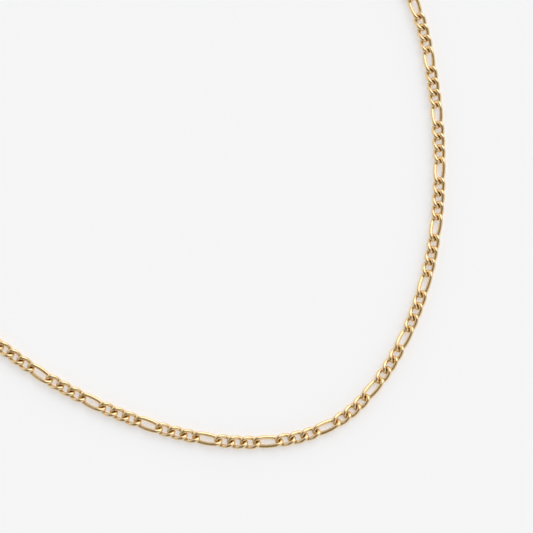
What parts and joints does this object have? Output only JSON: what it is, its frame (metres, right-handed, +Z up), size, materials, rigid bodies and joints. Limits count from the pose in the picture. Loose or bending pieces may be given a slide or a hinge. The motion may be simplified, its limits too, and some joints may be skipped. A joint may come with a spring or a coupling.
{
  "type": "figaro neck chain",
  "caption": "Gold-coloured figaro neck chain of flat-lying curb links, short and long in turn, closed by a lobster-form clasp and laid in an open loop",
  "frame": {"origin": "middle of the laid-out loop, on the surface it lies on", "axes": "+Z up from the surface; X and Y lie in the surface, with +Y along the loop's longer way"},
  "size_m": [0.1385, 0.157, 0.0037],
  "materials": {
    "chain_gold": "polished, gold plated",
    "clasp_gold": "polished, gold plated"
  },
  "bodies": {
    "root": {"segment_01": "chain_gold", "segment_02": "chain_gold", "segment_03": "chain_gold", "segment_04": "chain_gold", "segment_05": "chain_gold", "segment_06": "chain_gold", "segment_07": "chain_gold", "segment_08": "chain_gold", "segment_09": "chain_gold", "segment_10": "chain_gold", "segment_11": "chain_gold", "segment_12": "chain_gold", "segment_13": "chain_gold", "segment_14": "chain_gold", "segment_15": "chain_gold", "segment_16": "chain_gold", "clasp": "clasp_gold", "jump_ring_a": "clasp_gold", "jump_ring_b": "clasp_gold"}
  },
  "joints": []
}
